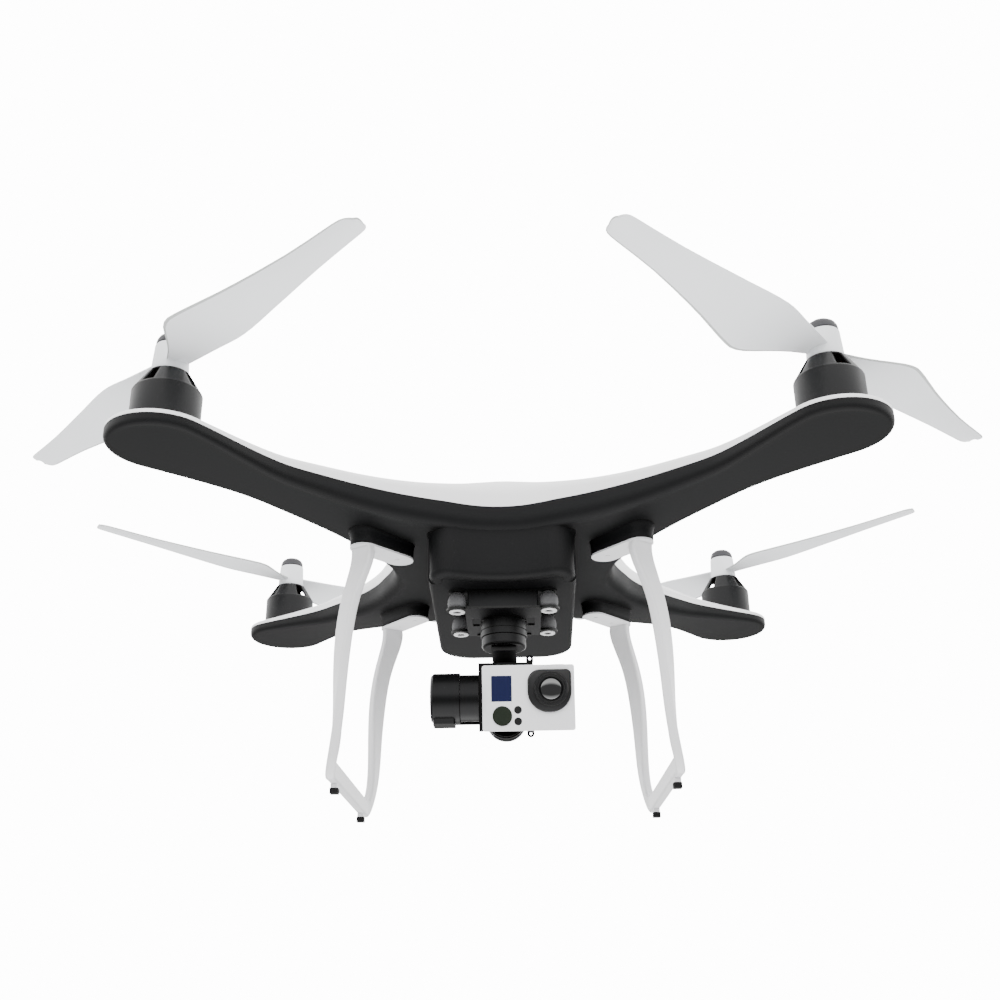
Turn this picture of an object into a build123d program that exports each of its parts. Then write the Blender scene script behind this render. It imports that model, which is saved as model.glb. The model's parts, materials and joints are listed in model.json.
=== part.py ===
from build123d import *
import os
from math import atan, atan2, cos, degrees, radians, sin

# Quadcopter drone with a three-axis gimbal and an action camera.
# Frame: +Z up, the nose towards -Y, so the craft's own left is +X. Millimetres.
# The origin is on the ground, under the crossing of the two motor diagonals.

os.makedirs("parts", exist_ok=True)

# ---------------------------------------------------------------- airframe
motor_diagonal = 545.0        # motor axis to motor axis, corner to corner
edge_mid = 92.0               # centre to the middle of the front and rear edges, in plan
side_mid = 79.0               # centre to the middle of the left and right edges
# half widths of an arm at these distances back from the motor axis
arm_stations = (170.0, 135.0, 95.0, 65.0)
front_widths = (45.0, 32.5, 24.0, 21.0)       # on the side of the front or rear edge
side_widths = (30.5, 21.5, 19.0, 19.5)        # on the side of the left or right edge
paddle_radius = 31.6          # round end of the arm, under the motor
paddle_offset = 1.0           # from the motor axis outwards to the centre of the round end
wall = 2.0                    # moulded wall of the shells
parting_gap = 0.15            # shadow gap between the two shells

seam_z = 176.8                # parting plane at the body
seam_tip_z = 181.3            # parting line at the tip of an arm
seam_flat_to = 80.0           # the parting line is level up to this radius
deck_z = 185.6                # top of the arms, under the motors
dome_z = 228.0                # crown of the upper shell
dome_fall = [(31.0, 6.0), (63.0, 20.0)]       # radius, drop below the crown
deck_rise = [(94.0, 9.8), (130.0, 4.4), (190.0, 2.0), (250.0, 0.0)]   # radius, height above the deck
keel_z = 161.0                # flat underside of the lower shell
keel_radius = 100.0           # the underside is flat up to this radius
arm_bottom_z = 174.8          # underside of the lower shell below a motor
wiring_hole = (34.0, 20.0)    # from the lower shell down into the belly

# ---------------------------------------------------------------- belly
belly_half = 47.3             # half width at the front corners
belly_half_rear = 51.0
belly_rear_y = 104.5
belly_front_corner_y = -108.0
belly_front_mid_y = -88.0
belly_bottom_z = 129.5
belly_rear_radius = 26.0
belly_front_radius = 12.0
belly_edge = 3.5              # round along the belly's lower edge
nose_depth = 30.0             # how far the nose cover reaches back from the corners
battery_half = 37.0
battery_front_y = -34.0
battery_height = 25.0
battery_clearance = 0.35
battery_button_radius = 6.0
battery_button_depth = 3.0

# ---------------------------------------------------------------- landing gear
pad_tip = (68.0, 66.0)        # centre of the pad's inner round end
pad_root = (88.8, 89.6)       # centre of the pad's outer round end, over the leg
pad_radius = 9.0
pad_bottom_z = 150.5
pad_thickness = 1.2
band_thickness = 6.0          # the U-shaped band that makes the legs and the skid
skid_x = 105.6
skid_height = 11.4
skid_bottom_z = 6.0
skid_corner_y = 76.0          # where the straight part of the skid ends
leg_y = 90.5
foot_y = 62.3
foot_height = 3.2
foot_width = 5.2
foot_length = 7.6

# ---------------------------------------------------------------- motors and propellers
bell_radius = 20.35
bell_wall = 1.6
bell_cylinder_z = 210.0       # top of the straight side
bell_top_z = 223.0
bell_top_radius = 12.0
mount_plate_height = 3.0
bell_gap = 0.6                # between the motor's mount and its turning bell
shaft_radius = 2.0
bearing_radius = 5.0
bearing_clearance = 0.05
magnet_thickness = 1.6
air_gap = 0.5
hub_radius = 10.6
hub_top_radius = 8.5
hub_top_z = 241.5
nut_radius = 8.4
top_z = 249.5                 # crown of the propeller nut, the highest point
prop_radius = 184.0
blade_z = 229.1
blade_pitch = 7.7             # degrees, the trailing edge low
# which way round each propeller is made, 1 or -1 for its mirror image
blade_hands = {"front_right": 1, "front_left": 1, "rear_right": -1, "rear_left": 1}
blade_thickness = 1.8
bell_slots = 6
magnet_count = 14
nut_round = 6.0

motor_screw_circle = 8.0
motor_screw_radius = 1.5

# ---------------------------------------------------------------- electronics and small fasteners
board_z = 176.0               # underside of the main board
board_side = 74.0
board_post = 31.0             # posts stand at plus and minus this in x and y
post_radius = 3.5
controller_circle = 74.0
gear_screw_radius = 1.5
gear_screw_shares = (0.08, 0.72)   # places along a pad, from its inner to its outer round end
gear_screw_head = 2.8
gear_socket_depth = 1.6

# ---------------------------------------------------------------- gimbal
gimbal_y = -37.0              # yaw axis
ball_x = 30.0
ball_front_y = -62.0
ball_rear_y = -11.0
ball_radius = 6.0
plate_bottom_z = 116.0
plate_thickness = 1.5
yaw_motor_radius = 15.5
yaw_rotor_radius = 14.75
yaw_split_z = 104.5
yaw_rotor_bottom_z = 97.0
turn_gap = 0.4                # between any two pieces of the gimbal that turn on each other
roll_axis = (0.5, 54.4)       # x and z of the roll axis, which points along Y
roll_motor_radius = 13.3
roll_motor_front_y = -18.0
roll_motor_depth = 10.0
tilt_axis = (-50.0, 61.2)     # y and z of the tilt axis, which points along X
tilt_can_radius = 16.0
tilt_can_end_x = -47.2
tilt_split_x = -28.6
tilt_rotor_radius = 14.9
yaw_arm_width = 16.5
roll_arm_width = 14.0
ball_neck_radius = 2.4
washer_radius = 5.2
washer_thickness = 1.0
mount_thickness = 1.2
plate_slot_x = 18.4
plate_screw_radius = 1.1
plate_screw_places = [(-17.0, -8.5), (17.0, -8.5)]
arm_sheet = 3.0               # thickness of the gimbal's brackets

# ---------------------------------------------------------------- camera
camera_width = 59.0
camera_wall = 1.8
camera_height = 41.5
camera_depth = 21.0
camera_centre = (15.4, -59.0, 58.7)   # centre of the faceplate's outer side
camera_pitch = 13.5           # nose-down angle of the camera at rest, degrees
faceplate_thickness = 1.6
tray_wall = 1.7
tray_side = 2.3               # side wall of the tray, towards the tilt motor
tray_lip_x = 3.2              # where the tray's top lip ends, from the camera's centre line
eyelet_x = 1.2
eyelet_radius = 2.3
eyelet_bore = 0.85
eyelet_reach = 2.4
face_corner = 1.6
screen_place = (-17.2, 6.0)   # places on the face are from its centre, to the right and up
screen_size = (13.0, 16.2)
mode_button_place = (-16.9, -11.2)
mode_button_radius = 6.1
mode_button_proud = 0.7
light_places = [(-6.9, -7.5), (-6.9, -14.7)]
light_radius = 2.5
lens_centre = (13.4, 4.3)
lens_block_width = 28.0
lens_block_height = 27.0
lens_block_lower_corner = 13.2
lens_block_left_corner = 8.0
lens_block_right_corner = 6.0
lens_block_proud = 2.4
lens_ring_centre = (14.4, 5.4)
lens_ring_radius = 11.0
lens_ring_proud = 1.8
lens_glass_radius = 7.3
lens_glass_depth = 2.6
shutter_place = (19.0, -11.0)
shutter_radius = 4.5
shutter_proud = 0.35
button_gap = 0.15
button_travel = 0.6

# ---------------------------------------------------------------- worked out from the above
half_diagonal = motor_diagonal / 2
motor_xy = half_diagonal * cos(radians(45))
paddle_u = half_diagonal + paddle_offset
reach = paddle_u + paddle_radius + 40.0
pad_top_z = pad_bottom_z + pad_thickness
corner_names = {
    "front_right": (-1, -1),
    "front_left": (1, -1),
    "rear_right": (-1, 1),
    "rear_left": (1, 1),
}
pad_run = (pad_root[0] - pad_tip[0], pad_root[1] - pad_tip[1])
gear_screw_places = [
    (sx * (pad_tip[0] + share * pad_run[0]), sy * (pad_tip[1] + share * pad_run[1]))
    for sx, sy in corner_names.values()
    for share in gear_screw_shares
]
motor_places = [(sx * motor_xy, sy * motor_xy) for sx, sy in corner_names.values()]


# ================================================================ airframe shells
def airframe_outline(inset):
    # Plan of the X-shaped airframe, pulled in by inset all round. One arm is drawn along +X,
    # turned to its corner and mirrored to the other three.
    c45 = cos(radians(45))
    front = (edge_mid - inset) * c45
    side = (side_mid - inset) * c45
    front_flank = [(half_diagonal - back, w - inset) for back, w in zip(arm_stations, front_widths)]
    side_flank = [(half_diagonal - back, inset - w) for back, w in zip(arm_stations, side_widths)]
    with BuildLine() as arm:
        upper = Spline((front, front), *front_flank, tangents=[(1, -1), (1, 0)])
        lower = Spline((side, -side), *side_flank, tangents=[(1, 1), (1, 0)])
        paddle = CenterArc((paddle_u, 0), paddle_radius - inset, 100, -200)
        Spline(upper @ 1, paddle @ 0, tangents=[(1, 0), paddle % 0])
        Spline(paddle @ 1, lower @ 1, tangents=[paddle % 1, (-1, 0)])
    with BuildSketch() as outline:
        with BuildLine() as border:
            add(arm.line, rotation=45)
            mirror(border.edges(), about=Plane.YZ)
            mirror(border.edges(), about=Plane.XZ)
        make_face()
    return outline.sketch


def seam_curve(lift):
    start = Line((0, seam_z + lift), (seam_flat_to, seam_z + lift))
    knee = (half_diagonal - 55, seam_z + (seam_tip_z - seam_z) * 0.74 + lift)
    rise = Spline(start @ 1, knee, (reach, seam_tip_z + lift + 0.6), tangents=[(1, 0), (1, 0.03)])
    return start, rise


def dome_block(inset, drop):
    # Solid of the upper shell, pulled in by inset at the sides and by drop at the top.
    crown = [(r, dome_z - fall - drop) for r, fall in [(0, 0)] + dome_fall]
    slope = [(r, deck_z + rise - drop) for r, rise in deck_rise]
    with BuildPart() as block:
        with BuildSketch():
            add(airframe_outline(inset))
        extrude(amount=dome_z)
        with BuildSketch(Plane.XZ):
            with BuildLine():
                start, rise = seam_curve(parting_gap)
                dome = Spline(*crown, *slope, tangents=[(1, 0), (1, 0)])
                deck = Line(dome @ 1, (reach, deck_z - drop))
                Line(deck @ 1, rise @ 1)
                Line(start @ 0, dome @ 0)
            make_face()
        revolve(axis=Axis.Z, mode=Mode.INTERSECT)
    return block.part


def hull_block(inset, raise_floor, lid):
    # Solid of the lower shell, pulled in at the sides and raised at the bottom.
    low = keel_z + raise_floor
    climb_height = arm_bottom_z - keel_z
    with BuildPart() as block:
        with BuildSketch():
            add(airframe_outline(inset))
        extrude(amount=dome_z)
        with BuildSketch(Plane.XZ):
            with BuildLine():
                start, rise = seam_curve(lid)
                keel = Line((0, low), (keel_radius, low))
                halfway = ((keel_radius + half_diagonal) / 2, low + climb_height / 2)
                climb = Spline(keel @ 1, halfway, (half_diagonal, low + climb_height),
                               (reach, low + climb_height + 0.3), tangents=[(1, 0), (1, 0)])
                Line(climb @ 1, rise @ 1)
                Line(start @ 0, keel @ 0)
            make_face()
        revolve(axis=Axis.Z, mode=Mode.INTERSECT)
    return block.part


with BuildPart() as upper_shell:
    add(dome_block(0, 0))
    add(dome_block(wall, wall), mode=Mode.SUBTRACT)
    with BuildSketch(Plane.XY.offset(deck_z - 2 * wall)):
        with Locations(*motor_places):
            Circle(4.0)
            with PolarLocations(motor_screw_circle, 4, start_angle=45):
                Circle(motor_screw_radius + 0.1)
    extrude(amount=4 * wall, mode=Mode.SUBTRACT)
upper_shell.part.label = "upper_shell"
export_step(upper_shell.part, "parts/upper_shell.step")


def pad_outline():
    # The four teardrop landing-gear pads: two round ends joined by their tangents.
    with BuildSketch() as pads:
        for sx, sy in corner_names.values():
            tip = Vector(sx * pad_tip[0], sy * pad_tip[1])
            root = Vector(sx * pad_root[0], sy * pad_root[1])
            with Locations((tip + root) / 2):
                reach_out = root - tip
                turn = degrees(atan2(reach_out.Y, reach_out.X))
                SlotCenterToCenter(reach_out.length, 2 * pad_radius, rotation=turn)
    return pads.sketch


with BuildPart() as lower_shell:
    add(hull_block(0, 0, 0))
    with BuildSketch(Plane.XY.offset(pad_top_z)):
        add(pad_outline())
    extrude(amount=keel_z + wall - pad_top_z)
    add(hull_block(wall, wall, 1.0), mode=Mode.SUBTRACT)
    # posts that carry the main board
    with BuildSketch(Plane.XY.offset(keel_z + wall)):
        with GridLocations(2 * board_post, 2 * board_post, 2, 2):
            Circle(post_radius)
    extrude(amount=board_z - keel_z - wall)
    # wiring hole into the belly, and the holes for the landing-gear screws
    with BuildSketch(Plane.XY.offset(keel_z - 1)):
        with Locations((0, battery_front_y / 2)):
            Rectangle(*wiring_hole)
    extrude(amount=wall + 2, mode=Mode.SUBTRACT)
    with BuildSketch(Plane.XY.offset(pad_top_z)):
        with Locations(*gear_screw_places):
            Circle(gear_screw_radius + 0.1)
    extrude(amount=20, mode=Mode.SUBTRACT)
lower_shell.part.label = "lower_shell"
export_step(lower_shell.part, "parts/lower_shell.step")


# ================================================================ belly
def belly_outline(inset):
    # Plan of the belly: sides that spread a little to the rear, round corners, a hollow front.
    half = belly_half - inset
    half_rear = belly_half_rear - inset
    front = belly_front_corner_y + inset
    rear = belly_rear_y - inset
    with BuildSketch() as outline:
        with BuildLine():
            brow = ThreePointArc((-half, front), (0, belly_front_mid_y + inset), (half, front))
            left = Line(brow @ 1, (half_rear, rear))
            back = Line(left @ 1, (-half_rear, rear))
            Line(back @ 1, brow @ 0)
        make_face()
        fillet(outline.vertices().group_by(Axis.Y)[-1], belly_rear_radius - inset)
        fillet(outline.vertices().group_by(Axis.Y)[0], belly_front_radius - inset)
    return outline.sketch


nose_back_y = belly_front_corner_y + nose_depth
belly_block_height = keel_z - belly_bottom_z
battery_bottom_z = belly_bottom_z + wall + battery_clearance
bay_length = 2 * (belly_rear_y - battery_front_y)     # reaches well past the rear face
bay_wall_y = battery_front_y - battery_clearance - wall

with BuildPart() as belly_block:
    with BuildSketch(Plane.XY.offset(belly_bottom_z)):
        add(belly_outline(0))
    extrude(amount=belly_block_height)
    fillet(belly_block.faces().sort_by(Axis.Z)[0].edges(), belly_edge)

with BuildPart() as belly_nose_cover:
    add(belly_block.part)
    split(bisect_by=Plane.XZ.offset(-nose_back_y), keep=Keep.TOP)
    with BuildSketch(Plane.XY.offset(belly_bottom_z + wall)):
        add(belly_outline(wall))
        with Locations((0, nose_back_y + belly_half)):
            Rectangle(4 * belly_half, 2 * belly_half, mode=Mode.SUBTRACT)
    extrude(amount=belly_block_height, mode=Mode.SUBTRACT)
belly_nose_cover.part.label = "belly_nose_cover"
export_step(belly_nose_cover.part, "parts/belly_nose_cover.step")

with BuildPart() as battery:
    with BuildSketch(Plane.XY.offset(battery_bottom_z)):
        add(belly_outline(0))
        with Locations((0, (battery_front_y + belly_rear_y) / 2)):
            Rectangle(2 * battery_half, belly_rear_y - battery_front_y, mode=Mode.INTERSECT)
    extrude(amount=battery_height)
    # seat of the push button in the rear face
    with BuildSketch(Plane.XZ.offset(-belly_rear_y)):
        with Locations((0, battery_bottom_z + battery_height / 2)):
            Circle(battery_button_radius + button_gap)
    extrude(amount=battery_button_depth + button_travel, mode=Mode.SUBTRACT)
battery.part.label = "battery"
export_step(battery.part, "parts/battery.step")

with BuildPart() as battery_button:
    with BuildSketch(Plane.XZ.offset(-belly_rear_y)):
        with Locations((0, battery_bottom_z + battery_height / 2)):
            Circle(battery_button_radius)
    extrude(amount=battery_button_depth)
battery_button.part.label = "battery_button"
export_step(battery_button.part, "parts/battery_button.step")

with BuildPart() as belly_housing:
    add(belly_block.part)
    split(bisect_by=Plane.XZ.offset(-nose_back_y), keep=Keep.BOTTOM)
    with BuildSketch(Plane.XY.offset(battery_bottom_z - battery_clearance)):
        with Locations((0, battery_front_y - battery_clearance + bay_length / 2)):
            Rectangle(2 * (battery_half + battery_clearance), bay_length)
    extrude(amount=battery_height + 2 * battery_clearance, mode=Mode.SUBTRACT)
    # empty bay between the nose cover and the battery, open at the top for the wiring
    with BuildSketch(Plane.XY.offset(belly_bottom_z + wall)):
        add(belly_outline(wall))
        with Locations((0, (nose_back_y + bay_wall_y) / 2)):
            Rectangle(4 * belly_half, bay_wall_y - nose_back_y, mode=Mode.INTERSECT)
    extrude(amount=belly_block_height, mode=Mode.SUBTRACT)
belly_housing.part.label = "belly_housing"
export_step(belly_housing.part, "parts/belly_housing.step")


# ================================================================ landing gear
# Stations of one leg of the band, from the pad down to the skid: height, x, y, the turn of the
# band's broad side away from the nose-to-tail direction, and the band's width there.
leg_stations = [
    (pad_bottom_z + 1.0, 89.6, leg_y + 0.6, 55, 15.4),
    (136, 90.6, leg_y + 0.6, 54, 15.4),
    (120, 95.0, leg_y + 0.5, 47, 14.2),
    (91, 99.4, leg_y, 40, 13.4),
    (55, 100.6, leg_y, 20, 13.0),
    (30, 101.6, leg_y - 0.5, 8, 13.0),
]


def band_section(centre, across, along, width):
    # One rounded cross-section of the band, square to the way the band runs.
    with BuildSketch(Plane(origin=centre, x_dir=across, z_dir=along)) as section:
        RectangleRounded(width, band_thickness, band_thickness * 0.27)
    return section.sketch


def landing_gear(side):
    middle_z = skid_bottom_z + skid_height / 2
    bend = leg_y - skid_corner_y
    sections = []
    for z, x, y, turn, width in leg_stations:
        across = (side * -sin(radians(turn)), -cos(radians(turn)), 0)
        sections.append(band_section((side * x, -y, z), across, (0, 0, -1), width))
    # quarter turn into the skid, which also carries the band outwards
    swing = radians(45)
    bend_x = side * (skid_x * 0.6 + leg_stations[-1][1] * 0.4)
    turn_at = (bend_x, -skid_corner_y - bend * sin(swing), middle_z + bend * (1 - cos(swing)))
    turn_across = (0, -sin(swing), -cos(swing))
    turn_along = (0, cos(swing), -sin(swing))
    skid_start = (side * skid_x, -skid_corner_y, middle_z)
    sections.append(band_section(turn_at, turn_across, turn_along, skid_height))
    sections.append(band_section(skid_start, (0, 0, -1), (0, 1, 0), skid_height))
    with BuildPart() as gear:
        loft(sections)
        extrude(sections[-1], amount=skid_corner_y)
        mirror(about=Plane.XZ)
        with BuildSketch(Plane.XY.offset(pad_bottom_z)):
            add(pad_outline())
            with Locations((-side * reach, 0)):
                Rectangle(2 * reach, 2 * reach, mode=Mode.SUBTRACT)
        extrude(amount=pad_thickness)
        # sockets for the screws that come down from inside the shell
        with BuildSketch(Plane.XY.offset(pad_top_z)):
            with Locations(*gear_screw_places):
                Circle(gear_screw_radius)
        extrude(amount=-gear_socket_depth, mode=Mode.SUBTRACT)
        # short stubs that hold the rubber feet
        with BuildSketch(Plane.XY.offset(foot_height)):
            with Locations((side * skid_x, -foot_y), (side * skid_x, foot_y)):
                Rectangle(foot_width * 0.8, foot_length * 0.8)
        extrude(amount=skid_bottom_z + 1 - foot_height)
    return gear.part


for side_name, side in (("right", -1), ("left", 1)):
    gear = landing_gear(side)
    gear.label = f"landing_gear_{side_name}"
    export_step(gear, f"parts/landing_gear_{side_name}.step")

with BuildPart() as gear_feet:
    with BuildSketch():
        with GridLocations(2 * skid_x, 2 * foot_y, 2, 2):
            RectangleRounded(foot_width, foot_length, 0.8)
    extrude(amount=foot_height)
gear_feet.part.label = "gear_feet"
export_step(gear_feet.part, "parts/gear_feet.step")


with BuildPart() as gear_screws:
    with BuildSketch(Plane.XY.offset(pad_top_z - gear_socket_depth)):
        with Locations(*gear_screw_places):
            Circle(gear_screw_radius)
    extrude(amount=keel_z + wall + 3.4 - pad_top_z + gear_socket_depth)
    with BuildSketch(Plane.XY.offset(keel_z + wall + 1.4)):
        with Locations(*gear_screw_places):
            Circle(gear_screw_head)
    extrude(amount=2.0)
gear_screws.part.label = "gear_screws"
export_step(gear_screws.part, "parts/gear_screws.step")


# ================================================================ electronics
with BuildPart() as main_board:
    with BuildSketch(Plane.XY.offset(board_z)):
        RectangleRounded(board_side, board_side, 5)
    extrude(amount=1.6)
    # shielded processor, connector block and sensor cluster
    with BuildSketch(Plane.XY.offset(board_z + 1.6)):
        with Locations((-16, 12)):
            Rectangle(26, 22)
        with Locations((20, -20)):
            Rectangle(16, 12)
        with Locations((-18, -22)):
            Rectangle(22, 9)
    extrude(amount=3.2)
main_board.part.label = "main_board"
export_step(main_board.part, "parts/main_board.step")

with BuildPart() as gps_module:
    with BuildSketch(Plane.XY.offset(board_z + 1.6)):
        with Locations((18, 14)):
            RectangleRounded(26, 26, 2)
    extrude(amount=8.0)
gps_module.part.label = "gps_module"
export_step(gps_module.part, "parts/gps_module.step")

with BuildPart() as speed_controllers:
    with BuildSketch(Plane.XY.offset(keel_z + wall)):
        with PolarLocations(controller_circle, 4, start_angle=45):
            Rectangle(30, 22)
    extrude(amount=5.0)
speed_controllers.part.label = "speed_controllers"
export_step(speed_controllers.part, "parts/speed_controllers.step")

# ================================================================ motors, fixed half
stator_bottom_z = deck_z + mount_plate_height + 2.0
stator_height = 12.0
sleeve_radius = bearing_radius + 1.2
bell_bottom_z = deck_z + mount_plate_height + bell_gap
stator_radius = bell_radius - bell_wall - magnet_thickness - air_gap
sleeve_top_z = stator_bottom_z + stator_height + 1.0

with BuildPart() as motor_mounts:
    with BuildSketch(Plane.XY.offset(deck_z)):
        with Locations(*motor_places):
            Circle(bell_radius - 1.5)
    extrude(amount=mount_plate_height)
    with BuildSketch(Plane.XY.offset(deck_z)):
        with Locations(*motor_places):
            Circle(sleeve_radius)
    extrude(amount=sleeve_top_z - deck_z)
    with BuildSketch(Plane.XY.offset(deck_z)):
        with Locations(*motor_places):
            Circle(bearing_radius)
    extrude(amount=sleeve_top_z - deck_z, mode=Mode.SUBTRACT)
    with BuildSketch(Plane.XY.offset(deck_z)):
        with Locations(*motor_places):
            with PolarLocations(motor_screw_circle, 4, start_angle=45):
                Circle(motor_screw_radius)
    extrude(amount=mount_plate_height, mode=Mode.SUBTRACT)
motor_mounts.part.label = "motor_mounts"
export_step(motor_mounts.part, "parts/motor_mounts.step")

with BuildPart() as motor_bearings:
    for low_z in (deck_z, sleeve_top_z - 4.0):
        with BuildSketch(Plane.XY.offset(low_z)):
            with Locations(*motor_places):
                Circle(bearing_radius)
                Circle(shaft_radius + bearing_clearance, mode=Mode.SUBTRACT)
        extrude(amount=4.0)
motor_bearings.part.label = "motor_bearings"
export_step(motor_bearings.part, "parts/motor_bearings.step")

slots = 12
with BuildPart() as motor_stators:
    with BuildSketch(Plane.XY.offset(stator_bottom_z)):
        with Locations(*motor_places):
            Circle(stator_radius)
            Circle(sleeve_radius, mode=Mode.SUBTRACT)
            with PolarLocations((stator_radius - 1.6 + sleeve_radius + 2.4) / 2, slots):
                SlotOverall(stator_radius - 1.6 - sleeve_radius - 2.4, 2.6, mode=Mode.SUBTRACT)
    extrude(amount=stator_height)
motor_stators.part.label = "motor_stators"
export_step(motor_stators.part, "parts/motor_stators.step")

with BuildPart() as motor_windings:
    for low_z in (stator_bottom_z - 1.2, stator_bottom_z + stator_height):
        with BuildSketch(Plane.XY.offset(low_z)):
            with Locations(*motor_places):
                Circle(stator_radius - 1.4)
                Circle(sleeve_radius + 1.6, mode=Mode.SUBTRACT)
        extrude(amount=1.2)
motor_windings.part.label = "motor_windings"
export_step(motor_windings.part, "parts/motor_windings.step")

with BuildPart() as motor_screws:
    with BuildSketch(Plane.XY.offset(deck_z - wall)):
        with Locations(*motor_places):
            with PolarLocations(motor_screw_circle, 4, start_angle=45):
                Circle(motor_screw_radius)
    extrude(amount=wall + mount_plate_height)
    with BuildSketch(Plane.XY.offset(deck_z - wall - 1.6)):
        with Locations(*motor_places):
            with PolarLocations(motor_screw_circle, 4, start_angle=45):
                Circle(motor_screw_radius + 1.0)
    extrude(amount=1.6)
motor_screws.part.label = "motor_screws"
export_step(motor_screws.part, "parts/motor_screws.step")


# ================================================================ motors, turning half
def rotor_bell(x, y):
    # Can with a sloping shoulder and a flat top, cut by slots that let the air through.
    with BuildPart() as bell:
        with BuildSketch(Plane.XZ.offset(-y)):
            with BuildLine():
                Polyline((x, bell_top_z), (x + bell_top_radius, bell_top_z),
                         (x + bell_radius, bell_cylinder_z), (x + bell_radius, bell_bottom_z),
                         (x + bell_radius - bell_wall, bell_bottom_z),
                         (x + bell_radius - bell_wall, bell_cylinder_z - 0.5),
                         (x + bell_top_radius - bell_wall, bell_top_z - bell_wall - 0.6),
                         (x, bell_top_z - bell_wall - 0.6), close=True)
            make_face()
        revolve(axis=Axis((x, y, 0), (0, 0, 1)))
        with BuildSketch(Plane.XY.offset(bell_top_z + 1)):
            with Locations((x, y)):
                with PolarLocations(bell_top_radius + 4.2, bell_slots):
                    SlotOverall(7.0, 4.4)
        extrude(amount=-(bell_top_z - bell_cylinder_z + 3), mode=Mode.SUBTRACT)
        with BuildSketch(Plane.XY.offset(bell_top_z)):
            with Locations((x, y)):
                Circle(shaft_radius)
        extrude(amount=-6, mode=Mode.SUBTRACT)
    return bell.part


def rotor_magnets(x, y):
    with BuildPart() as ring:
        with BuildSketch(Plane.XY.offset(stator_bottom_z)):
            with Locations((x, y)):
                Circle(bell_radius - bell_wall)
                Circle(bell_radius - bell_wall - magnet_thickness, mode=Mode.SUBTRACT)
                with PolarLocations(bell_radius - bell_wall, magnet_count):
                    Rectangle(2.5 * magnet_thickness, 0.8, mode=Mode.SUBTRACT)
        extrude(amount=stator_height)
    return ring.part


def motor_shaft(x, y):
    with BuildPart() as shaft:
        with BuildSketch(Plane.XY.offset(deck_z + 0.4)):
            with Locations((x, y)):
                Circle(shaft_radius)
        extrude(amount=top_z - 3.0 - deck_z - 0.4)
    return shaft.part


# Plan of one blade, from the hub outwards: (distance from the hub, offset towards the trailing edge)
trailing_edge = [(8, -7), (20, -13), (32, -21), (50, -31.5), (73, -27), (98, -21.4), (141, -14.4)]
leading_edge = [(176, 6.0), (137, 7.9), (96, 11), (57, 13.8), (32, 10.4), (8, 7)]


def propeller(x, y, turn, hand):
    stretch = prop_radius / 184.0
    hub_height = hub_top_z - bell_top_z - 0.2
    with BuildPart() as prop:
        for blade in (turn, turn + 180):
            ray = Vector(cos(radians(blade)), sin(radians(blade)), 0)
            across = Vector(-sin(radians(blade)), cos(radians(blade)), 0)
            tilt = radians(blade_pitch)
            normal = Vector(0, 0, 1) * cos(tilt) - across * sin(tilt) * hand
            with BuildSketch(Plane(origin=(x, y, blade_z), x_dir=ray, z_dir=normal)):
                with BuildLine():
                    trail = Spline(*[(d * stretch, o * hand) for d, o in trailing_edge])
                    Spline(trail @ 1, (prop_radius - 6, -10.0 * hand), (prop_radius - 0.8, -5.0 * hand),
                           (prop_radius - 2.0, 2.5 * hand), (176 * stretch, 6.0 * hand),
                           tangents=[trail % 1, (-1, 0.15 * hand)])
                    lead = Spline(*[(d * stretch, o * hand) for d, o in leading_edge])
                    Line(lead @ 1, trail @ 0)
                make_face()
            extrude(amount=blade_thickness / 2, both=True)
        with BuildSketch(Plane.XY.offset(bell_top_z + 0.2)):
            with Locations((x, y)):
                Circle(hub_radius)
        extrude(amount=hub_height, taper=degrees(atan((hub_radius - hub_top_radius) / hub_height)))
        with BuildSketch(Plane.XY.offset(bell_top_z)):
            with Locations((x, y)):
                Circle(shaft_radius)
        extrude(amount=hub_top_z - bell_top_z, mode=Mode.SUBTRACT)
    return prop.part


def prop_nut(x, y):
    with BuildPart() as nut:
        with BuildSketch(Plane.XY.offset(hub_top_z)):
            with Locations((x, y)):
                Circle(nut_radius)
        extrude(amount=top_z - hub_top_z)
        fillet(nut.faces().sort_by(Axis.Z)[-1].edges(), nut_round)
        with BuildSketch(Plane.XY.offset(hub_top_z)):
            with Locations((x, y)):
                Circle(shaft_radius)
        extrude(amount=top_z - 3.0 - hub_top_z, mode=Mode.SUBTRACT)
    return nut.part


for corner, (sx, sy) in corner_names.items():
    x, y = sx * motor_xy, sy * motor_xy
    # at rest every propeller stands square to its arm
    square_to_arm = degrees(atan2(sy, sx)) + 90
    pieces = {
        "rotor_bell": rotor_bell(x, y),
        "rotor_magnets": rotor_magnets(x, y),
        "motor_shaft": motor_shaft(x, y),
        "propeller": propeller(x, y, square_to_arm, blade_hands[corner]),
        "prop_nut": prop_nut(x, y),
    }
    for piece_name, piece in pieces.items():
        piece.label = f"{piece_name}_{corner}"
        export_step(piece, f"parts/{piece_name}_{corner}.step")


# ================================================================ gimbal, fixed pieces
ball_places = [(sx * ball_x, y) for sx in (-1, 1) for y in (ball_front_y, ball_rear_y)]
plate_top_z = plate_bottom_z + plate_thickness
mount_bottom_z = belly_bottom_z - mount_thickness
ball_middle_y = (ball_front_y + ball_rear_y) / 2
ball_spread = ball_rear_y - ball_front_y

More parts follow.
